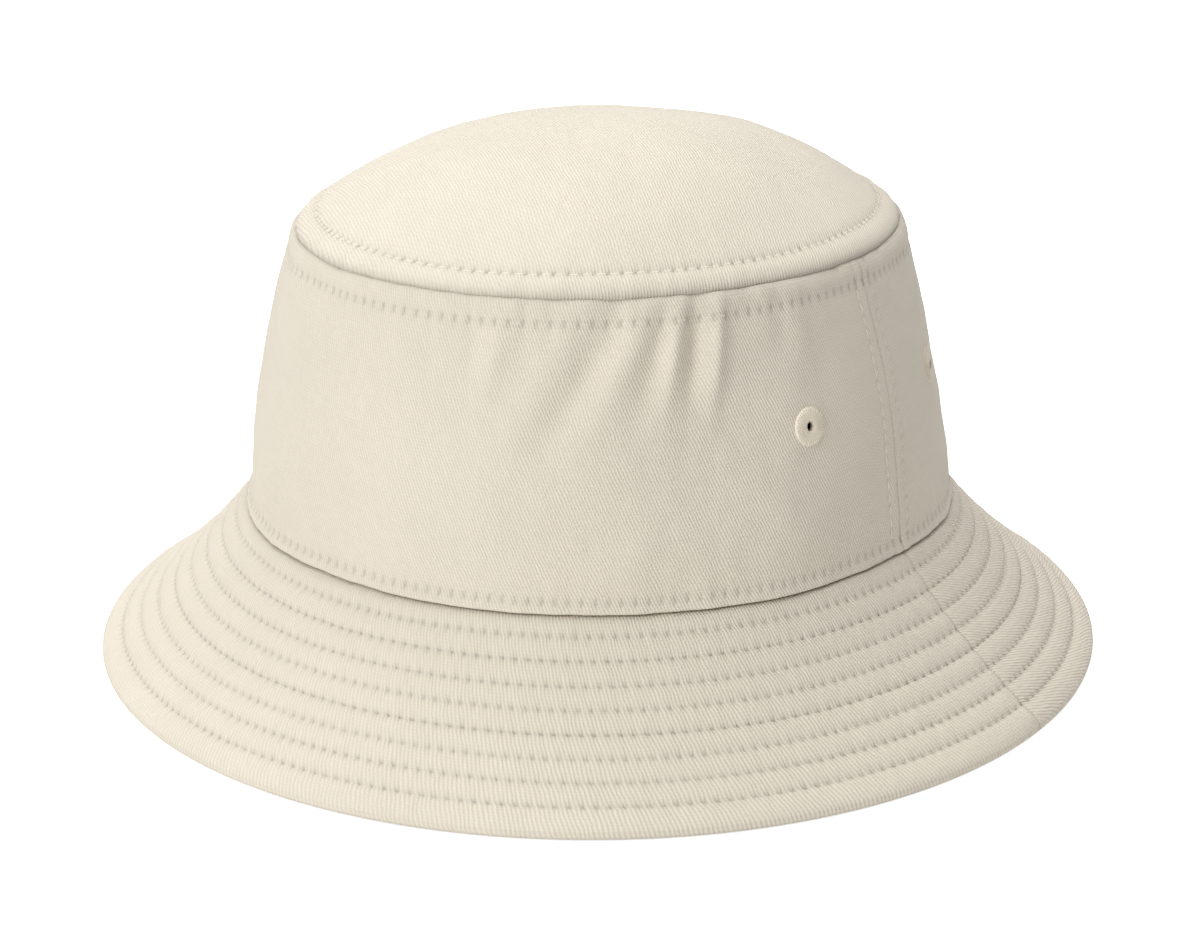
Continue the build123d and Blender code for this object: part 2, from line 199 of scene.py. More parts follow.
# Puckers eased in below the tip seam: degrees round the hat, height up the wall, half width,
# half height, slant and how far each stands out, in millimetres.
PUCKERS = (
    (-36, 62, 2.3, 12, 0.15, 2.0), (-40, 62, 2.2, 11, 0.15, -1.7), (-43.5, 61, 2.4, 12, 0.2, 1.7),
    (-47, 60, 3.0, 13, 0.3, -0.9), (-52, 58, 4.5, 16, 0.5, 1.5), (-58, 57, 4.0, 16, 0.55, -1.1),
    (-64, 57, 5.0, 16, 0.5, 1.1), (-72, 62, 3.0, 12, 0.2, 0.9), (-76, 62, 2.5, 10, 0.1, -0.6),
    (-88, 63, 5.0, 12, 0.2, 0.7), (-104, 62, 4.0, 13, -0.2, -0.7), (-122, 63, 5.0, 13, 0.3, 1.0),
    (-144, 60, 6.0, 15, -0.3, 0.9), (-20, 64, 4.0, 9, 0.1, 0.7), (22, 63, 5.0, 12, 0.2, 0.9),
    (48, 60, 6.0, 15, -0.3, 1.2), (54, 61, 3.0, 12, -0.3, -0.8), (80, 63, 4.0, 12, 0.2, -0.9),
    (86, 62, 4.0, 13, 0.2, 0.9), (112, 61, 6.0, 14, 0.3, 1.1), (150, 63, 4.0, 12, -0.2, 0.8),
    (-50, 14, 9.0, 9, 0.8, 0.7), (-25, 18, 8.0, 10, -0.7, 0.6), (-85, 16, 9.0, 10, -0.6, 0.7),
    (60, 15, 9.0, 9, 0.6, 0.7), (130, 16, 9.0, 9, -0.5, 0.7),
)


@lru_cache(maxsize=None)
def puckers_near(angle):
    """The puckers close to one angle, each with how far round the hat it is."""
    turns = [(angle - radians(each[0]) + pi) % (2 * pi) - pi for each in PUCKERS]
    return [(TOP_RADIUS * turn, each) for turn, each in zip(turns, PUCKERS) if abs(turn) < 0.35]


def pucker(angle, up):
    """How far the puckers stand out at a place on the wall."""
    rise = 0.0
    for round_hat, (_, height, half_width, half_height, slant, stand) in puckers_near(angle):
        above = up - height
        across = round_hat - slant * above
        rise += stand * exp(-(across / half_width) ** 2 - (above / half_height) ** 2)
    return rise


@lru_cache(maxsize=None)
def ripple_at(angle, seed):
    """Fine waves round the hat, strong in some places and faint in others."""
    return drape(angle, 0, 4.2, seed) * (0.4 + 1.2 * abs(drape(angle, 0, 30, seed + 1)))


def gather(angle, distance, reach_in, amount, seed):
    """Fine ripples that stitching draws up beside a seam, here more and there less."""
    return amount * exp(-distance / reach_in) * ripple_at(angle, seed)


@lru_cache(maxsize=None)
def needle(angle, count):
    """1 at a needle hole of a row of `count` stitches, falling to 0 between two."""
    return cos(pi * angle / (2 * pi) * count) ** 10


def stitched(angle, distance, count, depth=0.3, hole=0.5):
    """The furrow along a row of stitches, deeper at each needle hole."""
    return crease(distance, depth + hole * needle(angle, count), 0.65)


def whole(length):
    """Whole stitches in a length in millimetres."""
    return round(length / STITCH)


@lru_cache(maxsize=None)
def row_count(place):
    """Whole stitches round the tip seam or the base seam."""
    half = {"tip": (sizes().tip_half_width, sizes().tip_half_length),
            "base": (sizes().base_half_width, sizes().base_half_length)}[place]
    return whole(pi * sum(half) / MM)


def tip_count():
    """Whole stitches in the row on the tip."""
    return row_count("tip") - FEWER_ON_TIP


def wall_relief(angle, up):
    """How far the wall stands out: seams, rows, gathers, puckers and drape."""
    below_tip = max(WALL - up, 0.0)
    beside = from_seam(angle, base_radius(angle))
    relief = crease(below_tip, 1.3, 0.8) + 0.28 * exp(-((below_tip - 3.2) / 1.8) ** 2)
    relief += stitched(angle, below_tip - TIP_ROW, row_count("tip"))
    relief += stitched(angle, up - BASE_ROW, row_count("base"))
    relief += 1.25 * exp(-(max(up, 0) / 2.4) ** 2)
    relief += crease(beside, 0.12, 0.5) + 0.16 * exp(-((beside - 2.1) / 1.4) ** 2)
    relief += crease(beside - SIDE_ROW, 0.15 + 0.3 * cos(pi * up / STITCH) ** 8, 0.7)
    relief += gather(angle, below_tip, 9, 0.7, 5) + gather(angle, up, 8, 0.5, 9)
    relief += pucker(angle, up) + 1.1 * drape(angle, up, 38, 2) + 0.35 * drape(angle, up, 13, 4)
    relief += 0.16 * drape(angle, up, 5.5, 6)
    return relief


def wall(angle, up, depth):
    """A place on the crown wall: `up` from the brim seam, `depth` inside its outer face."""
    share = min(max(up / WALL, 0.0), 1.0)
    base, top = base_radius(angle), tip_radius(angle)
    lean = (top - base) / WALL * (1 + WALL_BOW) * max(share, 0.02) ** WALL_BOW
    length = hypot(1, lean)
    depth -= wall_relief(angle, up)
    radius = base + (top - base) * share ** (1 + WALL_BOW) - depth / length
    return at(angle, radius, BASE_Z / MM + up + depth * lean / length)


def dome_relief(angle, inward):
    """How far the tip stands up: its seam, its row, gathers and drape."""
    relief = crease(inward, 0.9, 0.8) + 0.3 * exp(-((inward - 3.2) / 1.8) ** 2)
    relief += stitched(angle, inward - TIP_ROW, tip_count())
    relief += gather(angle, inward, 8, 0.6, 7)
    fade = 1 - exp(-inward / 12)
    calm = max(0.0, 1 - inward / tip_radius(angle))
    place = at(angle, tip_radius(angle) * calm, 0) / MM
    return relief + fade * (1.3 * noise.noise(place / 42) + 0.3 * noise.noise(place / 14)
                            + 0.14 * noise.noise(place / 5.5))


def dome(angle, inward, depth):
    """A place on the tip: `inward` from its seam, `depth` under its outer face."""
    rim = tip_radius(angle)
    share = max(1 - inward / rim, 0.0)
    rise = sizes().tip_rise / MM
    slope = rise * (1 + DOME_BOW) / rim * share**DOME_BOW
    length = hypot(1, slope)
    depth -= dome_relief(angle, inward)
    height = TIP_Z / MM + rise * (1 - share ** (1 + DOME_BOW))
    return at(angle, rim * share - depth * slope / length, height - depth / length)


@lru_cache(maxsize=None)
def brim_slope(angle):
    return atan2(BASE_Z / MM - STACK, edge_radius(angle) - base_radius(angle))


@lru_cache(maxsize=None)
def brim_width(angle):
    return hypot(BASE_Z / MM - STACK, edge_radius(angle) - base_radius(angle))


def brim_shape(angle, down, depth):
    """The brim's even shape: dipping a little from seam to edge, and rippled at the edge."""
    slope = brim_slope(angle)
    share = min(max(down / brim_width(angle), 0.0), 1.0)
    ripple = 0.8 * sin(3 * angle + 0.6) + 0.5 * sin(5 * angle + 2.2) + 0.3 * sin(8 * angle + 1)
    depth += 0.9 * max(1 - down / 2.2, 0) * min(max(down + 1, 0), 1)
    depth += 2.3 * 4 * share * (1 - share) - 0.8 * share * ripple * (1 - share**8)
    radius = base_radius(angle) + down * cos(slope) - depth * sin(slope)
    return at(angle, radius, BASE_Z / MM - PLY_GAP - down * sin(slope) - depth * cos(slope))


def row_place(row):
    return FIRST_ROW + row * sizes().brim_row_pitch / MM


def nearest_row(down):
    """The quilting row nearest to a place on the brim."""
    row = round((down - row_place(0)) / (sizes().brim_row_pitch / MM))
    return min(max(row, 0), sizes().brim_rows - 1)


def row_stitches(row):
    """Whole stitches round a brim row."""
    return whole(2 * pi * (base_radius(BACK) + LEVEL_SHARE * row_place(row)))


def quilt(angle, down):
    """How far the cloth puffs up between the rows: 0 at a row, about 1 between two."""
    row = nearest_row(down)
    distance = down - row_place(row)
    phase = angle / (2 * pi) * row_stitches(row)
    hole = cos(pi * phase) ** 10 * exp(-(distance / 0.8) ** 2)
    pinch = 0.10 * cos(2 * pi * phase) * exp(-abs(distance) / 1.4)
    beside = from_seam(angle, base_radius(angle) + down)
    seam = crease(beside, 0.45, 0.6) + 0.2 * exp(-((beside - 3) / 2.2) ** 2)
    loose = 0.22 * noise.noise(at(angle, 90 + down, 0) / MM / 4.5)
    return 1 - exp(-abs(distance) / 1.15) - pinch - 0.5 * hole + seam + loose


def brim_top(angle, down, depth):
    return brim_shape(angle, down, depth + ROW_SEAT - ROW_PUFF * quilt(angle, down))


def brim_under(angle, down, depth):
    lift = 0.6 * quilt(angle, down)
    return brim_shape(angle, down, STACK - 0.25 + lift - depth)


# ---- Making cloth ----
def finished(name, bm, node, material, body="hat", smooth=True):
    """Turns a bmesh into a piece that stands for its CAD node and rides on its body."""
    mesh = bpy.data.meshes.new(name)
    bm.to_mesh(mesh)
    bm.free()
    piece = bpy.data.objects.new(name, mesh)
    bpy.context.scene.collection.objects.link(piece)
    mesh.materials.append(material)
    if smooth:
        mesh.shade_smooth()
    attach(piece, body)
    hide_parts(node)
    return piece


def cut_cloth(columns, path, surface, start, end, painted_shade=None):
    """A sheet cut flat as a grid, then laid along `path`, a list of (place, depth) pairs.
    The optional function gives how deep in a seam or a row a place lies, from 0 to 1; it is kept
    on each vertex as the painted shade that darkens the cloth's colour there."""
    bm = bmesh.new()
    painted_shades = bm.verts.layers.float.new("painted_shade")
    uv = bm.loops.layers.uv.new("cut")
    rows = len(path) - 1
    bmesh.ops.create_grid(bm, x_segments=columns, y_segments=rows, size=0.5)
    lengths = [row_length(path, row) * MM for row in range(len(path))]
    around = FOOT_RADIUS * MM
    cut = {}
    for vert in bm.verts:
        share = vert.co.x + 0.5
        row = round((vert.co.y + 0.5) * rows)
        angle = start + (end - start) * share
        place, depth = path[row]
        cut[vert] = (angle * around, lengths[row])
        vert.co = surface(angle, place, depth)
        if painted_shade:
            vert[painted_shades] = painted_shade(angle, place)
    for face in bm.faces:
        for loop in face.loops:
            loop[uv].uv = cut[loop.vert]
    if end - start > 1.99 * pi:
        bmesh.ops.remove_doubles(bm, verts=bm.verts, dist=1e-6)
    return bm


def wall_painted_shade(angle, up):
    """How deep in a seam, a row or a needle hole a place on the wall lies: the painted shade that
    darkens the cloth there.
    """
    below_tip = WALL - up
    row = exp(-abs(below_tip - TIP_ROW) / 0.5) * (0.1 + 1.1 * needle(angle, row_count("tip")))
    row += exp(-abs(up - BASE_ROW) / 0.5) * (0.1 + 1.1 * needle(angle, row_count("base")))
    beside = from_seam(angle, base_radius(angle))
    row += exp(-abs(beside - SIDE_ROW) / 0.5) * (0.05 + 0.4 * cos(pi * up / STITCH) ** 8)
    # Painted shade deep in the tip seam and beside the side seam, added to the rows'.
    return row + 0.8 * exp(-max(below_tip, 0) / 0.7) + 0.04 * exp(-beside / 0.5)


def dome_painted_shade(angle, inward):
    """How deep in the seam or the row a place on the tip lies: the painted shade that darkens the
    cloth there.
    """
    row = exp(-abs(inward - TIP_ROW) / 0.5) * (0.15 + 0.85 * needle(angle, tip_count()))
    return row + 0.8 * exp(-inward / 0.7)


def brim_painted_shade(angle, down):
    """How deep in a row or a seam a place on the brim lies: the painted shade that darkens the
    cloth there.
    """
    row = nearest_row(down)
    furrow = 0.15 + 0.85 * needle(angle, row_stitches(row))
    furrow = exp(-abs(down - row_place(row)) / 0.55) * furrow
    beside = from_seam(angle, base_radius(angle) + down)
    # Painted shadow under the crown's lip along the brim seam, and painted shade at the side seam.
    return furrow + 0.25 * exp(-beside / 0.5) + 0.6 * exp(-max(down, 0) / 1.2)


def row_length(path, row):
    return sum(hypot(b[0] - a[0], b[1] - a[1]) for a, b in zip(path[:row], path[1 : row + 1]))


def face_outward(bm, toward):
    """Turns the whole sheet so that it faces the side that `toward` gives for a place."""
    facing = sum(f.normal.dot(toward(f.calc_center_median())) for f in bm.faces)
    if facing < 0:
        bmesh.ops.reverse_faces(bm, faces=bm.faces)


def outward(place):
    return Vector((place.x, place.y, 0)).normalized() + Vector((0, 0, 0.3))


def downward(place):
    return Vector((0, 0, -1))


def thicken(piece, millimetres):
    """Gives a sheet its thickness, behind its outer face."""
    wall_modifier = piece.modifiers.new("cloth", "SOLIDIFY")
    wall_modifier.thickness = millimetres * MM
    wall_modifier.offset = -1


def steps(start, end, count, depth):
    """Even steps along the cloth at one depth."""
    return [(start + (end - start) * i / count, depth) for i in range(count + 1)]


def fold(place, across, middle, deep):
    """A fold through half a turn: `across` from `place`, and `deep` about a middle depth."""
    turns = [pi * i / FOLD_STEPS for i in range(1, FOLD_STEPS)]
    return [(place + across * sin(turn), middle + deep * cos(turn)) for turn in turns]


def hemmed(length):
    """A panel's outer face with its allowances folded in at both ends."""
    inner, radius = SECOND + TWILL, (SECOND + TWILL) / 2
    low, high = radius, length - radius - FOLD_SHORT
    path = steps(ALLOWANCE, low, 5, inner)
    path += fold(low, -radius, radius, radius)
    path += steps(low, high, int(length / GRID_PITCH), 0)
    path += fold(high, radius, radius, -radius)
    path += steps(high, length - ALLOWANCE, 5, inner)
    return path


# ---- Materials ----
# Wales of the twill to the metre, and the shares of a cloth's colour between its wales and on
# them (painted shade and painted highlight), deep in its seams and rows (painted shade), and in
# its flecks.
WALES, BETWEEN, ON_WALES, IN_PAINTED_SHADE = 1280.0, 0.80, 1.06, 0.28
IN_FLECKS = (0.6, 0.52, 0.42)


def tinted(colour, share):
    """A share of a colour, no brighter than white."""
    return (*(min(share * c, 1.0) for c in colour), 1)


def socket(tree, name, kind, direction, default=None):
    made = tree.interface.new_socket(name=name, in_out=direction, socket_type=kind)
    if default is not None:
        made.default_value = default


def link(tree, source, target):
    tree.links.new(source, target)


def maths(tree, operation, first, second=None):
    node = tree.nodes.new("ShaderNodeMath")
    node.operation = operation
    for place, value in enumerate((first, second)):
        if isinstance(value, (int, float)):
            node.inputs[place].default_value = value
        elif value is not None:
            link(tree, value, node.inputs[place])
    return node.outputs[0]


def noise_of(tree, vector, scale, detail=3.0, roughness=0.6):
    node = tree.nodes.new("ShaderNodeTexNoise")
    node.inputs["Scale"].default_value = scale
    node.inputs["Detail"].default_value = detail
    node.inputs["Roughness"].default_value = roughness
    link(tree, vector, node.inputs["Vector"])
    return node.outputs["Fac"]


def blend(tree, share, first, second):
    """Mixes two colours by a share. `first` is a colour or another node's output."""
    node = tree.nodes.new("ShaderNodeMix")
    node.data_type = "RGBA"
    if isinstance(first, tuple):
        node.inputs["A"].default_value = first
    else:
        link(tree, first, node.inputs["A"])
    node.inputs["B"].default_value = second
    link(tree, share, node.inputs["Factor"])
    return node.outputs["Result"]


def emboss(tree, shader, height, strength, depth):
    """Raises a finish by a pattern, up to a depth in millimetres."""
    raised = tree.nodes.new("ShaderNodeBump")
    raised.inputs["Strength"].default_value = strength
    raised.inputs["Distance"].default_value = depth * MM
    link(tree, height, raised.inputs["Height"])
    link(tree, raised.outputs[0], shader.inputs["Normal"])


def tone_of(tree, place):
    """The shared cotton tone at a place, as its two outputs Tone and Fleck."""
    node = tree.nodes.new("ShaderNodeGroup")
    node.node_tree = bpy.data.node_groups.get("cotton_tone") or soil_group()
    link(tree, place, node.inputs["Place"])
    return node.outputs


def weave_group():
    """Twill: slanting wales crossed by short floats, with slubs and loose fibre; its Shade output
    is painted shade and painted highlight that follow the weave's height.
    """
    tree = bpy.data.node_groups.new("twill_weave", "ShaderNodeTree")
    socket(tree, "Cut", "NodeSocketVector", "INPUT")
    socket(tree, "Wales", "NodeSocketFloat", "INPUT", WALES)
    socket(tree, "Slant", "NodeSocketFloat", "INPUT", 1.0)
    socket(tree, "Height", "NodeSocketFloat", "OUTPUT")
    socket(tree, "Shade", "NodeSocketFloat", "OUTPUT")
    inside = tree.nodes.new("NodeGroupInput").outputs
    out = tree.nodes.new("NodeGroupOutput").inputs
    parts = tree.nodes.new("ShaderNodeSeparateXYZ")
    link(tree, inside["Cut"], parts.inputs[0])
    wobble = noise_of(tree, inside["Cut"], 140.0)
    slanted = maths(tree, "MULTIPLY", parts.outputs["Y"], inside["Slant"])
    along = maths(tree, "ADD", parts.outputs["X"], slanted)
    turns = maths(tree, "MULTIPLY", along, inside["Wales"])
    wavy = maths(tree, "ADD", turns, maths(tree, "MULTIPLY", wobble, 1.6))
    wale = maths(tree, "SINE", maths(tree, "MULTIPLY", wavy, 2 * pi))
    pick = maths(tree, "MULTIPLY", parts.outputs["Y"], inside["Wales"])
    floats = maths(tree, "SINE", maths(tree, "MULTIPLY", pick, 2 * pi))
    slub = noise_of(tree, inside["Cut"], 900.0, 2.0)
    uneven = maths(tree, "MULTIPLY", wale, maths(tree, "MULTIPLY", slub, 0.66))
    height = maths(tree, "ADD", uneven, maths(tree, "MULTIPLY", floats, 0.08))
    height = maths(tree, "ADD", height, maths(tree, "MULTIPLY", slub, 0.36))
    link(tree, maths(tree, "ADD", height, 0.35), out["Height"])
    # Painted shade and painted highlight: lighter where the weave stands high, darker between the
    # wales.
    shade = maths(tree, "ADD", maths(tree, "MULTIPLY", height, 0.75), 0.3)
    link(tree, shade, out["Shade"])
    return tree


def soil_group():
    """Uneven tone: broad soft patches and fine flecks of seed in undyed cotton."""
    tree = bpy.data.node_groups.new("cotton_tone", "ShaderNodeTree")
    socket(tree, "Place", "NodeSocketVector", "INPUT")
    socket(tree, "Tone", "NodeSocketFloat", "OUTPUT")
    socket(tree, "Fleck", "NodeSocketFloat", "OUTPUT")
    inside = tree.nodes.new("NodeGroupInput").outputs
    out = tree.nodes.new("NodeGroupOutput").inputs
    broad = noise_of(tree, inside["Place"], 22.0, 4.0)
    link(tree, broad, out["Tone"])
    speck = noise_of(tree, inside["Place"], 700.0, 1.0)
    link(tree, maths(tree, "GREATER_THAN", speck, 0.76), out["Fleck"])
    return tree


def cloth_material(name, colour, wales=WALES, slant=1.0, bump=1.0, roughness=0.9, fleck=0.1):
    """A woven cotton: its own slant and count, with the shared weave and tone."""
    material = bpy.data.materials.new(name)
    material.use_nodes = True
    tree = material.node_tree
    shader = tree.nodes["Principled BSDF"]
    shader.inputs["Roughness"].default_value = roughness
    shader.inputs["Sheen Weight"].default_value = 0.15
    shader.inputs["Specular IOR Level"].default_value = 0.2
    cut = tree.nodes.new("ShaderNodeUVMap")
    cut.uv_map = "cut"
    place = tree.nodes.new("ShaderNodeTexCoord").outputs["Object"]
    weave = tree.nodes.new("ShaderNodeGroup")
    weave.node_tree = bpy.data.node_groups.get("twill_weave") or weave_group()
    weave.inputs["Wales"].default_value = wales / hypot(1, slant)
    weave.inputs["Slant"].default_value = slant
    link(tree, cut.outputs[0], weave.inputs["Cut"])
    tone = tone_of(tree, place)
    uneven = maths(tree, "ADD", maths(tree, "MULTIPLY", tone["Tone"], 0.45), -0.02)
    # Painted shade and painted highlight of the wales, with the cotton's random tone added.
    on_wale = maths(tree, "ADD", weave.outputs["Shade"], uneven)
    woven = blend(tree, on_wale, tinted(colour, BETWEEN), tinted(colour, ON_WALES))
    flecks = (*(c * d for c, d in zip(colour, IN_FLECKS)), 1)
    flecked = blend(tree, maths(tree, "MULTIPLY", tone["Fleck"], fleck), woven, flecks)
    # Painted shade: the colour darkens towards a dark share of itself where the cloth lies deep in
    # a seam, a row or a needle hole.
    shade_attribute = tree.nodes.new("ShaderNodeAttribute")
    shade_attribute.attribute_name = "painted_shade"
    shadow = maths(tree, "MULTIPLY", shade_attribute.outputs["Fac"], 0.75)
    shaded = blend(tree, shadow, flecked, tinted(colour, IN_PAINTED_SHADE))
    link(tree, shaded, shader.inputs["Base Color"])
    emboss(tree, shader, weave.outputs["Height"], bump, 0.18)
    return material


def thread_material(name, colour):
    """Spun thread: matt, with a slightly uneven tone and a fine fuzz in its bump."""
    material = bpy.data.materials.new(name)
    material.use_nodes = True
    tree = material.node_tree
    shader = tree.nodes["Principled BSDF"]
    shader.inputs["Roughness"].default_value = 0.75
    shader.inputs["Specular IOR Level"].default_value = 0.1
    place = tree.nodes.new("ShaderNodeTexCoord").outputs["Object"]
    tone = tone_of(tree, place)
    spun = blend(tree, tone["Tone"], tinted(colour, 0.86), tinted(colour, 1.08))
    link(tree, spun, shader.inputs["Base Color"])
    emboss(tree, shader, noise_of(tree, place, 2600.0, 2.0), 0.3, 0.1)
    return material


def material(name):
    """The hat's materials by name, each made the first time it is asked for."""
    full_name = "hat_" + name
    if full_name in bpy.data.materials:
        return bpy.data.materials[full_name]
    pick = colours()
    makers = {
        "twill_tip": lambda n: cloth_material(n, pick.twill, slant=1.2),
        "twill_wall": lambda n: cloth_material(n, pick.twill, slant=0.45),
        "twill_brim_front": lambda n: cloth_material(n, pick.twill, slant=-0.25),
        "twill_brim_back": lambda n: cloth_material(n, pick.twill, slant=-1.9),
        "twill_band": lambda n: cloth_material(n, pick.twill, slant=2.0),
        "tape": lambda n: cloth_material(n, pick.tape, wales=1250.0, slant=0.0, fleck=0.0),
        "interlining": lambda n: cloth_material(n, pick.lining, wales=600.0, bump=0.15, fleck=0.0),
        "ribbon": lambda n: cloth_material(n, pick.ribbon, 3000.0, 0.0, 0.1, 0.45, 0.0),
        "thread": lambda n: thread_material(n, pick.thread),
        "eyelet_thread": lambda n: thread_material(n, pick.thread),
    }
    return makers[name](full_name)


# ---- Stitching ----
def thread(surface, begin, finish, lift, width=THREAD_WIDTH, height=THREAD_HEIGHT):
    """Where one stitch lies, from one needle hole to the next, as a matrix."""
    first, last = surface(*begin, -lift), surface(*finish, -lift)
    middle = [(a + b) / 2 for a, b in zip(begin, finish)]
    centre = surface(*middle, -lift)
    along = (last - first).normalized()
    up = (surface(*middle, -lift - 1.0) - centre).normalized()
    side = along.cross(up).normalized()
    up = side.cross(along)
    spread = (side * width / 2 * MM, up * height / 2 * MM, (last - first) / 2)
    return Matrix.Translation(centre) @ Matrix(spread).transposed().to_4x4()


def ring_row(surface, place, count, lift=0.0):
    """A row round the hat, of whole stitches between needle holes."""
    step = 2 * pi / count
    return [
        thread(surface, ((n + COMES_UP) * step, place), ((n + GOES_DOWN) * step, place), lift)
        for n in range(count)
    ]


def upright_row(surface, angle, low, high, lift=0.0):
    count = whole(high - low)
    pitch = (high - low) / count
    places = [low + pitch * (n + COMES_UP) for n in range(count)]
    run = (GOES_DOWN - COMES_UP) * pitch
    return [thread(surface, (angle, p), (angle, p + run), lift) for p in places]


def sew(bm, threads):
    """Makes one small rounded thread, doubles it until there are enough, and lays them all.
    The first thread comes in from a mesh, so that its vertices and its copies' stay in order."""
    pattern = bmesh.new()
    bmesh.ops.create_uvsphere(pattern, u_segments=6, v_segments=6, radius=1.0)
    mesh = bpy.data.meshes.new("thread_pattern")
    pattern.to_mesh(mesh)
    pattern.free()
    bm.from_mesh(mesh)
    bpy.data.meshes.remove(mesh)
    size = len(bm.verts)
    while len(bm.verts) < size * len(threads):
        bmesh.ops.duplicate(bm, geom=bm.verts[:] + bm.edges[:] + bm.faces[:])
    bmesh.ops.delete(bm, geom=bm.verts[size * len(threads):], context="VERTS")
    for number, vert in enumerate(bm.verts):
        vert.co = threads[number // size] @ vert.co


def stitches(node, *rows):
    """A piece made of every thread in its rows."""
    bm = bmesh.new()
    sew(bm, [each for row in rows for each in row])
    return finished(node + "_stitches", bm, node, material("thread"))


# ---- Operators, one for each piece or group of like pieces ----
HALVES = {"front": (RIGHT, RIGHT + pi), "back": (LEFT, LEFT + pi)}
# How far the side edge of a half stays from the side seam, in radians, and how far in from
# its seam the tip's grid keeps the seam's own shape, in millimetres.
SEAM_TURN, EVEN_RIM = 0.0004, 14


class HAT_OT_tip(bpy.types.Operator):
    """Cut the oval tip, turn its allowance under and ease it into a dome"""

    bl_idname = "hat.tip"
    bl_label = "Crown tip"

    def execute(self, context):
        inner, radius = SECOND + TWILL, (SECOND + TWILL) / 2
        rim = tip_radius(LEFT)
        edge = radius + FOLD_SHORT
        path = steps(ALLOWANCE, edge, 5, inner) + fold(edge, -radius, radius, radius)
        path += steps(edge, EVEN_RIM, 15, 0) + steps(EVEN_RIM + 1.5, rim - 0.001, 40, 0)

        def stretched(angle, place, depth):
            share = place / rim if place > EVEN_RIM else 0
            return dome(angle, place + share * (tip_radius(angle) - rim), depth)

        bm = cut_cloth(560, path, stretched, 0, 2 * pi, dome_painted_shade)
        bmesh.ops.remove_doubles(bm, verts=bm.verts, dist=4e-5)
        uv = bm.loops.layers.uv["cut"]
        for face in bm.faces:
            for loop in face.loops:
                loop[uv].uv = loop.vert.co.xy
        face_outward(bm, lambda place: Vector((place.x, place.y, 0.1)))
        piece = finished("crown_tip_cloth", bm, "crown_tip", material("twill_tip"))
        thicken(piece, TWILL)
        return {"FINISHED"}


# Eyelets in millimetres: height above the brim seam, distance from the side seam, radius,
# radius of the hole and of the cloth cut away under it.
EYELET_UP, EYELET_OUT, EYELET_RADIUS, HOLE, PUNCHED = 40.0, 33.5, 5.0, 1.15, 2.2
# Close stitches round an eyelet: how many, and each one's lift, width and height.
SATIN, SATIN_OUTSIDE, SATIN_INSIDE = 40, (0.5, 0.42, 0.6), (-1.35, 0.4, 0.4)


def eyelet_angles():
    turn_by = EYELET_OUT * MM / sizes().base_half_width
    return {
        "eyelet_left_front": LEFT - turn_by, "eyelet_left_back": LEFT + turn_by,
        "eyelet_right_back": RIGHT - turn_by, "eyelet_right_front": RIGHT + turn_by,
    }


class HAT_OT_wall(bpy.types.Operator):
    """Cut the two halves of the crown wall, punch their eyelet holes and fold their seams"""

    bl_idname = "hat.wall"
    bl_label = "Crown wall"

    def execute(self, context):
        for name, (start, end) in HALVES.items():
            bm = cut_cloth(440, hemmed(WALL), wall, start + SEAM_TURN, end - SEAM_TURN,
                           wall_painted_shade)
            centres = [wall(a, EYELET_UP, 0) for a in eyelet_angles().values()]
            punched = [f for f in bm.faces
                       if min((f.calc_center_median() - c).length for c in centres) < PUNCHED * MM]
            bmesh.ops.delete(bm, geom=punched, context="FACES")
            face_outward(bm, outward)
            node = "crown_wall_" + name
            piece = finished(node + "_cloth", bm, node, material("twill_wall"))
            thicken(piece, TWILL)
        return {"FINISHED"}


class HAT_OT_brim(bpy.types.Operator):
    """Cut the brim's upper ply, stiffener and under ply, and roll the upper over the edge"""

    bl_idname = "hat.brim"
    bl_label = "Brim"

    def execute(self, context):
        edge = brim_width(BACK) - ROLL_START
        upper = [(-1, 3.0), (-0.5, 1.6)] + steps(0.1, edge, 76, 0)
        roll = STACK / 2
        upper += [(edge + roll * sin(pi * i / 7), roll - roll * cos(pi * i / 7))
                  for i in range(1, 8)]
        under = steps(edge - 0.3, 0.8, 58, 0) + [(0.2, 0.0), (-1.2, 0.2)]
        for name, (start, end) in HALVES.items():
            start, end = start + SEAM_TURN / 1.2, end - SEAM_TURN / 1.2
            self.ply("brim_upper_" + name, 500, upper, self.top_ply, start, end, outward,
                     "twill_brim_" + name, "twill")
            self.ply("brim_under_" + name, 380, under, brim_under, start, end, downward,
                     "twill_brim_" + name, "twill")
            middle = steps(2.0, edge - 0.6, 20, SECOND)
            self.ply("brim_interlining_" + name, 120, middle, brim_shape, start, end, outward,
                     "interlining", "interlining", INTERLINING)
        return {"FINISHED"}

    def top_ply(self, angle, down, depth):
        edge = brim_width(BACK) - ROLL_START
        if down < 0:
            return wall(angle, 0.6 + (1 + down) * 0.4, SECOND + TWILL + PLY_GAP)
        on_top = down < edge - 0.01 and depth == 0
        puffed = ROW_SEAT - ROW_PUFF * quilt(angle, down) if on_top else -EDGE_EASE
        near = min(max((edge - down) / 1.5, 0.0), 1.0)
        lip = min(down / 1.2, 1.0)
        return brim_shape(angle, down, depth + (puffed * near - EDGE_EASE * (1 - near)) * lip)

    def ply(self, node, columns, path, surface, start, end, toward, cloth, slot, thick=TWILL):
        bm = cut_cloth(columns, path, surface, start, end, brim_painted_shade)
        face_outward(bm, toward)
        piece = finished(node + "_cloth", bm, node, material(cloth))
        thicken(piece, thick)
        reach_out = sizes().edge_half_length
        area = pi * (reach_out + sizes().base_half_length) / 2 * brim_width(BACK) * MM


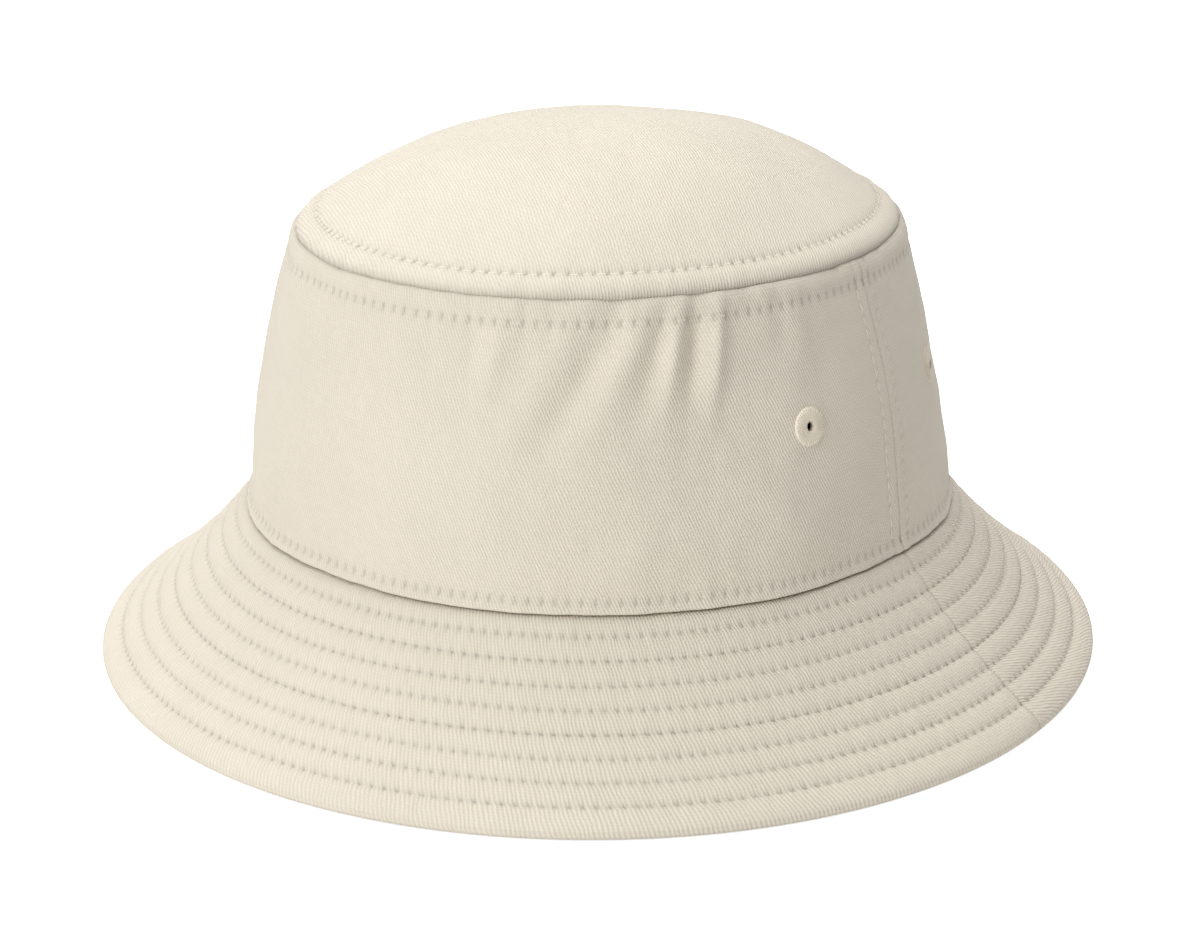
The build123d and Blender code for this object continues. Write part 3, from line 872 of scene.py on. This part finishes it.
class HAT_OT_sweatband(bpy.types.Operator):
    """Sew the hemmed sweatband inside the opening"""

    bl_idname = "hat.sweatband"
    bl_label = "Sweatband"

    def execute(self, context):
        face = BAND_DEPTH + TWILL
        hem = 0.7
        top = BAND_HEIGHT - hem
        path = steps(-2 * hem, top, 26, face) + fold(top, hem, face - hem, hem)
        path += steps(top, BAND_HEIGHT - ALLOWANCE, 5, face - 2 * hem)

        def band(angle, up, depth):
            return wall(angle, up, depth + 0.5 * wall_relief(angle, up) + 0.2)

        bm = cut_cloth(420, path, band, BACK + 0.001, BACK + 2 * pi - 0.001)
        face_outward(bm, lambda place: -outward(place))
        piece = finished("sweatband_cloth", bm, "sweatband",
                         material("twill_band"))
        thicken(piece, TWILL)
        stitches("sweatband_hem_stitch",
                 ring_row(band, BAND_HEIGHT - 3, whole(2 * pi * BAND_RADIUS), -face - 0.1))
        return {"FINISHED"}


class HAT_OT_tapes(bpy.types.Operator):
    """Lay the seam tapes over the tip seam and the side seams inside"""

    bl_idname = "hat.tapes"
    bl_label = "Seam tapes"

    def execute(self, context):
        depth = SECOND + TWILL + 0.5
        half = TAPE_WIDTH / 2

        def bridging(angle, place, inset):
            if place < 0:
                return wall(angle, WALL + place - 1.0, depth + inset)
            return dome(angle, place + 1.0, depth + inset)

        path = steps(-half, -0.4, 12, 0) + steps(0.4, half, 12, 0)
        bm = cut_cloth(420, path, bridging, BACK + 0.001, BACK + 2 * pi - 0.001)
        face_outward(bm, lambda place: -outward(place))
        self.tape("tip_seam_tape", bm, 2 * pi * sizes().tip_half_length)
        for name, angle in (("left", LEFT), ("right", RIGHT)):
            turn_by = half * MM / sizes().base_half_width
            path = steps(ALLOWANCE + 0.5, WALL - half - 1.5, 40, 0)
            bm = cut_cloth(22, path, lambda a, up, inset: wall(a, up, SECOND + 0.35 + inset),
                           angle - turn_by, angle + turn_by)
            face_outward(bm, lambda place: -outward(place))
            self.tape("side_seam_tape_" + name, bm, (WALL - ALLOWANCE - half - 2) * MM)
        return {"FINISHED"}

    def tape(self, node, bm, length):
        piece = finished(node + "_cloth", bm, node, material("tape"))
        thicken(piece, 0.3)


class HAT_OT_eyelets(bpy.types.Operator):
    """Work the four sewn eyelets with close stitches over a punched hole"""

    bl_idname = "hat.eyelets"
    bl_label = "Eyelets"

    def execute(self, context):
        for node, angle in eyelet_angles().items():
            bm = bmesh.new()
            centre = wall(angle, EYELET_UP, 0)
            radius_here = hypot(centre.x, centre.y) / MM

            def on_wall(ray, distance, depth, angle=angle, radius_here=radius_here):
                side = angle + distance * cos(ray) / radius_here
                return wall(side, EYELET_UP + distance * sin(ray), depth)

            threads = []
            for number in range(SATIN):
                ray = 2 * pi * number / SATIN
                end = EYELET_RADIUS - 0.35 * noise.random()
                threads.append(thread(on_wall, (ray, HOLE), (ray, end), *SATIN_OUTSIDE))
                threads.append(thread(on_wall, (ray, HOLE), (ray, end - 0.5), *SATIN_INSIDE))
            sew(bm, threads)
            bed = self.bed(on_wall)
            bm.from_mesh(bed)
            bpy.data.meshes.remove(bed)
            finished(node + "_satin", bm, node, material("eyelet_thread"))
        return {"FINISHED"}

    def bed(self, on_wall):
        """The padded ring under the satin stitches, spun and then laid on the wall."""
        bm = bmesh.new()
        outline = [(HOLE, 1.3), (HOLE, -0.2), (HOLE + 0.7, -0.52), (EYELET_RADIUS - 0.9, -0.45),
                   (EYELET_RADIUS - 0.2, 0.1), (EYELET_RADIUS - 0.9, 1.3)]
        points = [bm.verts.new((distance, 0, depth)) for distance, depth in outline]
        edges = [bm.edges.new(pair) for pair in zip(points, points[1:] + points[:1])]
        bmesh.ops.spin(bm, geom=points + edges, cent=(0, 0, 0), axis=(0, 0, 1), angle=2 * pi,
                       steps=48, use_merge=True)
        for vert in bm.verts:
            ray, distance = atan2(vert.co.y, vert.co.x), hypot(vert.co.x, vert.co.y)
            vert.co = on_wall(ray, distance, vert.co.z)
        bmesh.ops.recalc_face_normals(bm, faces=bm.faces)
        mesh = bpy.data.meshes.new("eyelet_bed")
        bm.to_mesh(mesh)
        bm.free()
        return mesh


class HAT_OT_stitching(bpy.types.Operator):
    """Sew the topstitching of the crown and the quilting rows of the brim"""

    bl_idname = "hat.stitching"
    bl_label = "Stitching"

    def execute(self, context):
        stitches("tip_topstitch", ring_row(dome, TIP_ROW, tip_count()))
        stitches("wall_top_topstitch", ring_row(wall, WALL - TIP_ROW, row_count("tip")))
        stitches("crown_base_topstitch", ring_row(wall, BASE_ROW, row_count("base")))
        turn_by = SIDE_ROW * MM / sizes().base_half_width
        low, high = BASE_ROW + 1, WALL - TIP_ROW - 1
        for name, angle in (("left", LEFT), ("right", RIGHT)):
            stitches("side_topstitch_" + name, upright_row(wall, angle - turn_by, low, high),
                     upright_row(wall, angle + turn_by, low, high))
        for row in range(sizes().brim_rows):
            place, count = row_place(row), row_stitches(row)
            stitches(f"brim_stitch_row_{row + 1}", ring_row(brim_top, place, count, -0.05),
                     ring_row(brim_under, place, count, -0.02))
        return {"FINISHED"}


class HAT_OT_labels(bpy.types.Operator):
    """Sew in the blank size label and hang the blank care label"""

    bl_idname = "hat.labels"
    bl_label = "Labels"

    def execute(self, context):
        low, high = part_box("size_label")
        depth = BAND_DEPTH + TWILL + 1.0
        half = (high.x - low.x) / 2 / (sizes().base_half_length - depth * MM)
        foot, head = (z / MM - BASE_Z / MM for z in (low.z, high.z))

        def on_band(angle, up, inset):
            return wall(angle, up, depth + 0.5 * wall_relief(angle, up) + inset)

        bm = cut_cloth(40, steps(foot, head, 18, 0), on_band, BACK - half, BACK + half)
        face_outward(bm, lambda place: -outward(place))
        piece = finished("size_label_ribbon", bm, "size_label", material("ribbon"))
        thicken(piece, 0.25)
        inset = half - 0.012
        stitches("size_label_stitch",
                 upright_row(on_band, BACK - inset, foot + 1, head - 1, -0.35),
                 upright_row(on_band, BACK + inset, foot + 1, head - 1, -0.35))
        self.care_label()
        low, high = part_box("care_label_stitch")
        middle = (low + high) / 2
        radius, up = middle.y / MM, middle.z / MM

        def along(angle, place, lift):
            return Vector((place, radius, up - lift)) * MM

        bm = bmesh.new()
        count = 7
        pitch = (high.x - low.x) / MM / count
        begins = [low.x / MM + pitch * (number + COMES_UP) for number in range(count)]
        run = (GOES_DOWN - COMES_UP) * pitch
        sew(bm, [thread(along, (0, b), (0, b + run), 0.0, height=0.3) for b in begins])
        finished("care_label_tack", bm, "care_label_stitch", material("thread"))
        return {"FINISHED"}

    def care_label(self):
        """A satin ribbon, curled a little towards its lower edge."""
        low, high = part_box("care_label")
        width, length = high.x - low.x, high.z - low.z
        foot_curl, inset = 0.0016, 0.0002

        def hanging(angle, place, depth):
            down = place * MM
            curl = foot_curl * (down / length) ** 2 * (1 + 0.4 * sin(angle * 3))
            return Vector((angle * width, high.y - inset - curl, high.z - down - inset / 2))

        bm = cut_cloth(16, steps(0, length / MM - 0.2, 24, 0), hanging, -0.5, 0.5)
        face_outward(bm, lambda place: Vector((0, -1, 0)))
        piece = finished("care_label_ribbon", bm, "care_label", material("ribbon"),
                         body="care_label")
        thicken(piece, 0.3)


class HAT_OT_stage(bpy.types.Operator):
    """Set the pale floor, the soft lights and the camera"""

    bl_idname = "hat.stage"
    bl_label = "Stage"

    def execute(self, context):
        scene = context.scene
        bm = bmesh.new()
        bmesh.ops.create_grid(bm, x_segments=1, y_segments=1, size=6)
        mesh = bpy.data.meshes.new("floor")
        bm.to_mesh(mesh)
        bm.free()
        floor = bpy.data.objects.new("floor", mesh)
        floor.location.z = -0.0008
        scene.collection.objects.link(floor)
        paint = bpy.data.materials.new("pale_floor")
        paint.use_nodes = True
        shader = paint.node_tree.nodes["Principled BSDF"]
        shader.inputs["Base Color"].default_value = (0.93, 0.93, 0.93, 1)
        shader.inputs["Roughness"].default_value = 0.9
        shader.inputs["Emission Color"].default_value = (1, 1, 1, 1)
        seen = paint.node_tree.nodes.new("ShaderNodeLightPath").outputs["Is Camera Ray"]
        glow = maths(paint.node_tree, "MULTIPLY", seen, 0.75)
        link(paint.node_tree, glow, shader.inputs["Emission Strength"])
        mesh.materials.append(paint)
        world = bpy.data.worlds.new("studio")
        world.use_nodes = True
        world.node_tree.nodes["Background"].inputs["Color"].default_value = (1, 1, 1, 1)
        world.node_tree.nodes["Background"].inputs["Strength"].default_value = 0.31
        scene.world = world
        scene.view_settings.view_transform = "Standard"
        self.light("key", 8.7, 0.8, (-0.05, -1.15, 0.72))
        self.light("top", 15.5, 1.2, (-0.3, 0.4, 1.35))
        self.camera(scene)
        return {"FINISHED"}

    def light(self, name, power, size, place):
        lamp = bpy.data.lights.new(name, "AREA")
        lamp.energy = power
        lamp.size = size
        made = bpy.data.objects.new(name, lamp)
        made.location = place
        aim = Vector((0, 0, 0.06)) - Vector(place)
        made.rotation_euler = aim.to_track_quat("-Z", "Y").to_euler()
        bpy.context.scene.collection.objects.link(made)

    def camera(self, scene):
        azimuth, elevation, distance = radians(34.47), radians(19.29), 0.7535
        lens = bpy.data.cameras.new("view")
        lens.sensor_width = 36.0
        lens.lens = 83.1
        made = bpy.data.objects.new("view", lens)
        level = cos(elevation)
        back = Vector((sin(azimuth) * level, -cos(azimuth) * level, sin(elevation)))
        sideways, height = 0.00014, 0.0444
        aim = Vector((sideways * cos(azimuth), sideways * sin(azimuth), height))
        made.location = aim + back * distance
        made.rotation_euler = Euler((pi / 2 - elevation, 0, azimuth))
        scene.collection.objects.link(made)
        scene.camera = made


PIECES = (HAT_OT_tip, HAT_OT_wall, HAT_OT_brim, HAT_OT_sweatband, HAT_OT_tapes, HAT_OT_eyelets,
          HAT_OT_stitching, HAT_OT_labels, HAT_OT_stage)


class HAT_PT_panel(bpy.types.Panel):
    """Lists the hat's sizes, colours and pieces"""

    bl_idname = "HAT_PT_panel"
    bl_label = "Bucket hat"
    bl_space_type = "VIEW_3D"
    bl_region_type = "UI"
    bl_category = "Bucket hat"

    def draw(self, context):
        for group in (context.scene.hat_sizes, context.scene.hat_colours):
            for name in group.__annotations__:
                self.layout.prop(group, name)
        for piece in PIECES:
            self.layout.operator(piece.bl_idname)


CLASSES = (HatSizes, HatColours, *PIECES, HAT_PT_panel)


def register():
    for each in CLASSES:
        bpy.utils.register_class(each)
    bpy.types.Scene.hat_sizes = PointerProperty(type=HatSizes)
    bpy.types.Scene.hat_colours = PointerProperty(type=HatColours)


def unregister():
    del bpy.types.Scene.hat_colours
    del bpy.types.Scene.hat_sizes
    for each in reversed(CLASSES):
        bpy.utils.unregister_class(each)


def main():
    register()
    noise.seed_set(7)
    for piece in PIECES:
        group, name = piece.bl_idname.split(".")
        getattr(getattr(bpy.ops, group), name)()


if __name__ == "__main__":
    main()
